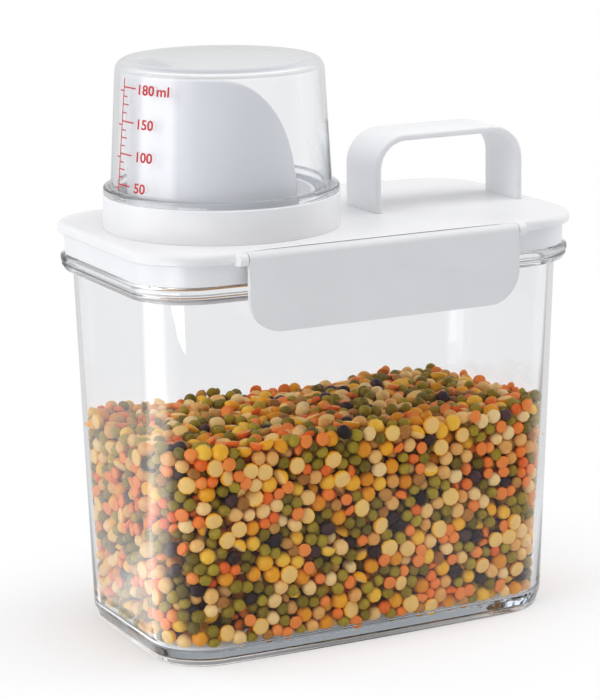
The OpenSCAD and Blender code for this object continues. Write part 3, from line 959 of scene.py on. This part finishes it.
def speckled(name, scale, one, other, rough):
    """A plain matt finish that drifts between two near colours."""
    recipe = Recipe(name)
    colour = recipe.blend(recipe.noise(scale, 2.0), one, other)
    return recipe.done(recipe.plastic(Base_Color=colour, Roughness=rough))


# The core's dark brown is painted shade: it stands for the grains deep in the heap, where little light
# reaches.
wear(core, speckled("shadowed_grains", 300.0, rgb(70, 44, 24), rgb(118, 80, 42), 0.8))
wear(scale_print, speckled("red_ink", 700.0, rgb(176, 12, 18), rgb(192, 20, 26), 0.55))
print("seed coats:", sorted(COATS))

# %% [markdown]
# The seals and the hinge pins are the CAD's own solids, because little of them is seen. They still get
# their real finishes: dusty pale silicone, and steel with the fine lines of drawn wire.

# %% The small hidden trim
def silicone():
    """Matt pale rubber with a trace of dust."""
    recipe = Recipe("silicone_seal")
    dust = recipe.noise(900.0, 3.0)
    colour = recipe.blend(dust, rgb(214, 219, 220), rgb(226, 229, 229))
    return recipe.done(recipe.plastic(Base_Color=colour, Roughness=dust * 0.15 + 0.5,
                                      Normal=recipe.bump(dust, 0.2, 0.00005)))


def drawn_steel():
    """Bright steel with lines along X."""
    recipe = Recipe("drawn_steel_pin")
    stretch = recipe.add("ShaderNodeMapping", None, Vector=recipe.place(), Scale=(20.0, 900.0, 900.0))
    lines = recipe.noise(1.0, 3.0, at=stretch)
    colour = recipe.blend(lines, rgb(170, 172, 176), rgb(205, 207, 210))
    return recipe.done(recipe.plastic(Base_Color=colour, Metallic=1.0, Roughness=lines * 0.2 + 0.2,
                                      Normal=recipe.bump(lines, 0.2, 0.00002)))


seal_finish, pin_finish = silicone(), drawn_steel()
for node, finish in (("lid_gasket", seal_finish), ("spout_seal", seal_finish), ("cup_seal", seal_finish),
                     ("front_latch_pin", pin_finish), ("back_latch_pin", pin_finish)):
    wear(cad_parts[node], finish)
print("trim finished")

# %% [markdown]
# The stage is a white sweep that keeps the container's own shadow. Clear plastic is only seen by what it
# bends and mirrors, so the studio round it has a tall bright softbox on the left, a dark camera side,
# and two dark flags behind, as in product photography.

# %% The surround
def rays(recipe):
    """Masks for camera rays, mirrored rays and rays only bent through clear plastic."""
    seen, glossy, bent, mirrors = (recipe.add("ShaderNodeLightPath", out=i) for i in (0, 3, 6, 11))
    mirrored = mirrors.between(0.3, 0.7)
    return seen, glossy.math("MAXIMUM", bent) * mirrored, bent * (1 - mirrored)


def sector(recipe, x, y, middle, half, soft=0.12):
    """1 within a sector of the horizon, given by its middle and half width in degrees."""
    turn = math.radians(middle)
    along, across = x * math.cos(turn) + y * math.sin(turn), y * math.cos(turn) - x * math.sin(turn)
    angle = across.math("ARCTAN2", along).math("ABSOLUTE")
    return 1 - angle.between(math.radians(half) - soft, math.radians(half) + soft)


CAMERA_SIDE = -117.4
DARK_FRONT, BRIGHT_LEFT, FLAGS = (-88, 60), (172, 22), ((108.6, 13), (20.6, 11))  # middle and half width


def surround(recipe, x, y):
    """The radiance of the horizon for mirrored rays and for bent rays."""
    front = sector(recipe, x, y, *DARK_FRONT, 0.15)
    left = sector(recipe, x, y, *BRIGHT_LEFT, 0.08)
    mirrored = 0.75 - front * 0.65 + left * 2.2
    flag_a, flag_b = (sector(recipe, x, y, *flag, 0.08) for flag in FLAGS)
    bent = 1 - (flag_a + flag_b) * 0.85 - front * 0.2
    return mirrored, bent


print("the camera looks from", CAMERA_SIDE, "degrees, past flags at", [middle for middle, _ in FLAGS])

# %% [markdown]
# The floor is matt near the container, so it catches the shadow, and melts into plain white further out.
# The studio behind it is a wash of light that each kind of ray sees differently: plain white for the
# camera, shaped light for the clear plastic, and a soft fill for the mouldings.

# %% Floor and studio
FOOTPRINT, FADE = (0.076, 0.042), (-0.05, 0.13)
bpy.ops.object.select_all(action="DESELECT")
bpy.ops.mesh.primitive_plane_add(size=12)
floor = bpy.context.object
floor.name = "floor"


def split(recipe, vector):
    """The x, y and z of a vector as wires."""
    parts = recipe.add("ShaderNodeSeparateXYZ", None, vector).socket.node.outputs
    return [Wire(recipe, part) for part in parts]


def floor_finish():
    """Matt white by the container, glowing white far from it."""
    recipe = Recipe("white_sweep")
    x, y, _ = split(recipe, recipe.place())
    out_x, out_y = (
        (wire.math("ABSOLUTE") - half).math("MAXIMUM", 0.0) for wire, half in zip((x, y), FOOTPRINT))
    far = (out_x * out_x + out_y * out_y).math("SQRT").between(*FADE)
    seen, glossy, bent = rays(recipe)
    mirrored, through = surround(recipe, x, y)
    front = sector(recipe, x, y, CAMERA_SIDE, 60, 0.3)
    glow = seen + glossy * mirrored + bent * through
    share = far * (seen + bent) + glossy * far.math("MAXIMUM", front * 0.9)
    matt = recipe.add("ShaderNodeBsdfDiffuse", None, rgb(247, 249, 252))
    white = recipe.add("ShaderNodeEmission", None, (1, 1, 1, 1), glow)
    return recipe.done(recipe.add("ShaderNodeMixShader", None, share, matt, white))


wear(floor, floor_finish())


def studio():
    """The light round the object, for each kind of ray."""
    recipe = Recipe("studio", world=True)
    x, y, z = split(recipe, recipe.add("ShaderNodeTexCoord"))
    seen, glossy, bent = rays(recipe)
    mirrored, through = surround(recipe, x, y)
    other = 1 - seen.math("MAXIMUM", glossy.math("MAXIMUM", bent))
    above = z.between(0.25, 0.7)
    soft = (0.4 - sector(recipe, x, y, -102, 50, 0.4) * 0.32) * (1 - above) + above * 0.62
    strength = (seen + glossy * (mirrored * (1 - above) + above * 1.1)
                + bent * (through * (1 - above) + above * 0.15) + other * soft)
    glow = recipe.add("ShaderNodeBackground", None, (1, 1, 1, 1), strength)
    return recipe.done(glow, "ShaderNodeOutputWorld")


bpy.context.scene.world = studio()
print("floor and studio:", floor.name, "and", bpy.context.scene.world.name)

# %% [markdown]
# Four large softboxes light the white parts, the left one a little stronger than the right. They aren't
# mirrored, because the studio already holds what the plastic mirrors. One small card gives the bright
# strip down the container's near corner.

# %% The lamps
TARGET = (0, 0, 0.1)
LAMPS = (  # name, place, size, watts
    ("left_softbox", (-1.35, -0.2, 0.75), (0.9, 1.1), 8.5),
    ("right_softbox", (1.4, -0.1, 0.7), (0.9, 1.1), 8.0),
    ("back_left_softbox", (-0.9, 1.3, 0.95), (0.9, 0.9), 5.0),
    ("front_top", (0.15, -0.45, 1.5), (1.4, 1.0), 8.0))


def lamp(name, place, size, watts):
    """A rectangular softbox that faces the container."""
    data = bpy.data.lights.new(name, "AREA")
    data.shape, data.size, data.size_y, data.energy = "RECTANGLE", size[0], size[1], watts
    obj = bpy.data.objects.new(name, data)
    bpy.context.scene.collection.objects.link(obj)
    obj.location = place
    obj.visible_glossy = obj.visible_transmission = False
    obj.rotation_euler = (Vector(TARGET) - Vector(place)).to_track_quat("-Z", "Y").to_euler()


for settings in LAMPS:
    lamp(*settings)


def light_card(place, width, height, turn, strength):
    """A glowing card that only mirrored rays see, for one highlight on the clear corner."""
    bpy.ops.object.select_all(action="DESELECT")
    bpy.ops.mesh.primitive_plane_add(size=1, location=place, rotation=(math.pi / 2, 0, math.radians(turn)))
    card = bpy.context.object
    card.name, card.scale = "light_card", (width, height, 1)
    recipe = Recipe("card_glow")
    wear(card, recipe.done(recipe.add("ShaderNodeEmission", None, (1, 1, 1, 1), strength)))
    card.visible_camera = card.visible_diffuse = card.visible_transmission = card.visible_shadow = False


light_card(place=(-0.26, -0.165, 0.055), width=0.15, height=0.108, turn=147, strength=6.0)
print("lamps:", [name for name, *_ in LAMPS])

# %% [markdown]
# The camera is fitted to the photograph's outlines: it stands to the left of the front, a little above
# the lid, and its small shift places the container in the picture as the photograph does.

# %% The photograph's camera
PHOTO_W, PHOTO_H, FOCAL, SENSOR = 600, 699, 2891.09, 36.0  # pixels, and the sensor in millimetres
AXIS_PX = (315.27, 275.0)
AZIMUTH, ELEVATION, ROLL, DISTANCE, AIM_Z = -27.575, 11.559, -0.564, 1.04483, 0.1256


def photo_camera():
    """The camera on its place round the container."""
    data = bpy.data.cameras.new("photo_camera")
    data.sensor_fit, data.sensor_width = "HORIZONTAL", SENSOR
    data.lens = FOCAL / PHOTO_W * SENSOR
    data.shift_x = (PHOTO_W / 2 - AXIS_PX[0]) / PHOTO_W
    data.shift_y = (AXIS_PX[1] - PHOTO_H / 2) / PHOTO_W
    data.clip_start, data.clip_end = 0.05, 30
    obj = bpy.data.objects.new("photo_camera", data)
    bpy.context.scene.collection.objects.link(obj)
    a, e = math.radians(AZIMUTH), math.radians(ELEVATION)
    back = Vector((math.sin(a) * math.cos(e), -math.cos(a) * math.cos(e), math.sin(e)))
    obj.location = Vector((0, 0, AIM_Z)) + back * DISTANCE
    turn = back.to_track_quat("Z", "Y") @ Quaternion((0, 0, 1), math.radians(ROLL))
    obj.rotation_euler = turn.to_euler()
    return obj


bpy.context.scene.camera = photo_camera()
bpy.context.scene.view_settings.view_transform = "Standard"
print("camera at", tuple(round(c, 3) for c in bpy.context.scene.camera.location))
